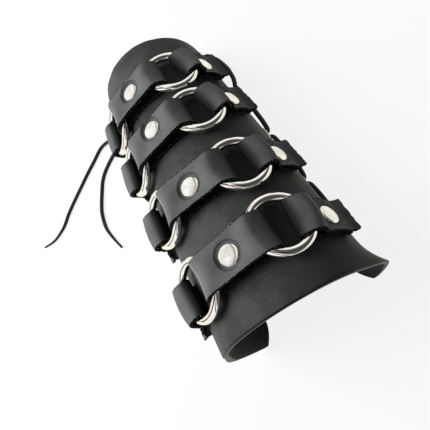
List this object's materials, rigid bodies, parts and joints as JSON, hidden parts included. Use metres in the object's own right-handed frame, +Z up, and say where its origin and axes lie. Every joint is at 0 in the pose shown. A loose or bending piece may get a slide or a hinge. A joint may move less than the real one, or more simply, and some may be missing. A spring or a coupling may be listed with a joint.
{
  "type": "laced gauntlet",
  "caption": "Open leather forearm cuff with rows of riveted strap loops holding polished rings across the top, laced together underneath.",
  "frame": {"origin": "bottom centre of the bounding box of the cuff without the loose lace ends, on the plane that the free edges rest on", "axes": "+Y from the elbow end to the wrist end, +Z up from the laced free edges to the strap rows, +X to the right seen from the elbow"},
  "size_m": [0.1863, 0.1713, 0.0726],
  "materials": {
    "cuff_leather": "satin black leather",
    "strap_leather": "satin black leather with soft edges",
    "ring_steel": "polished plated steel",
    "rivet_nickel": "bright nickel",
    "eyelet_steel": "plated steel",
    "lace_leather": "matt black leather cord"
  },
  "bodies": {
    "cuff": {"cuff_centre": "cuff_leather", "centre_strap_1": "strap_leather", "centre_strap_2": "strap_leather", "centre_strap_3": "strap_leather", "centre_strap_4": "strap_leather", "centre_rivet_caps": "rivet_nickel", "centre_rivet_posts": "rivet_nickel", "lacing": "lace_leather", "lace_end_a": "lace_leather", "lace_end_b": "lace_leather"},
    "right_side": {"cuff_right_side": "cuff_leather", "right_tab_1": "strap_leather", "right_tab_2": "strap_leather", "right_tab_3": "strap_leather", "right_tab_4": "strap_leather", "right_rivet_caps": "rivet_nickel", "right_rivet_posts": "rivet_nickel", "right_eyelets": "eyelet_steel"},
    "left_side": {"cuff_left_side": "cuff_leather", "left_tab_1": "strap_leather", "left_tab_2": "strap_leather", "left_tab_3": "strap_leather", "left_tab_4": "strap_leather", "left_rivet_caps": "rivet_nickel", "left_rivet_posts": "rivet_nickel", "left_eyelets": "eyelet_steel"},
    "right_ring_1": {"right_ring_1": "ring_steel"},
    "right_ring_2": {"right_ring_2": "ring_steel"},
    "right_ring_3": {"right_ring_3": "ring_steel"},
    "right_ring_4": {"right_ring_4": "ring_steel"},
    "left_ring_1": {"left_ring_1": "ring_steel"},
    "left_ring_2": {"left_ring_2": "ring_steel"},
    "left_ring_3": {"left_ring_3": "ring_steel"},
    "left_ring_4": {"left_ring_4": "ring_steel"}
  },
  "joints": [
    {"name": "right_flex", "type": "hinge", "parent": "cuff", "child": "right_side", "pos_m": [0.01117, 0.00355, 0.05301], "axis": [0.0332, -0.9891, 0.1435], "range_deg": [0, 9], "stiffness_Nm_per_rad": 0.8, "springref_deg": -2.86},
    {"name": "left_flex", "type": "hinge", "parent": "cuff", "child": "left_side", "pos_m": [-0.01343, 0.00343, 0.05198], "axis": [-0.0293, 0.9849, -0.1703], "range_deg": [0, 9], "stiffness_Nm_per_rad": 0.8, "springref_deg": -2.86, "deforming": ["lacing", "lace_end_a", "lace_end_b"]},
    {"name": "right_ring_1_spin", "type": "hinge", "parent": "right_side", "child": "right_ring_1", "pos_m": [0.01825, 0.04955, 0.04712], "axis": [0.5241, 0.1364, 0.8407], "continuous": true},
    {"name": "right_ring_2_spin", "type": "hinge", "parent": "right_side", "child": "right_ring_2", "pos_m": [0.01886, 0.01961, 0.0516], "axis": [0.5234, 0.1364, 0.8411], "continuous": true},
    {"name": "right_ring_3_spin", "type": "hinge", "parent": "right_side", "child": "right_ring_3", "pos_m": [0.02133, -0.01731, 0.05598], "axis": [0.5668, 0.1332, 0.813], "continuous": true},
    {"name": "right_ring_4_spin", "type": "hinge", "parent": "right_side", "child": "right_ring_4", "pos_m": [0.02165, -0.04973, 0.06107], "axis": [0.5562, 0.134, 0.8201], "continuous": true},
    {"name": "left_ring_1_spin", "type": "hinge", "parent": "left_side", "child": "left_ring_1", "pos_m": [-0.02379, 0.05026, 0.04344], "axis": [-0.6134, 0.1292, 0.7791], "continuous": true},
    {"name": "left_ring_2_spin", "type": "hinge", "parent": "left_side", "child": "left_ring_2", "pos_m": [-0.02335, 0.01934, 0.04902], "axis": [-0.5786, 0.1322, 0.8048], "continuous": true},
    {"name": "left_ring_3_spin", "type": "hinge", "parent": "left_side", "child": "left_ring_3", "pos_m": [-0.02098, -0.01486, 0.05643], "axis": [-0.4926, 0.1384, 0.8592], "continuous": true},
    {"name": "left_ring_4_spin", "type": "hinge", "parent": "left_side", "child": "left_ring_4", "pos_m": [-0.02074, -0.05161, 0.06257], "axis": [-0.4654, 0.1401, 0.8739], "continuous": true}
  ]
}
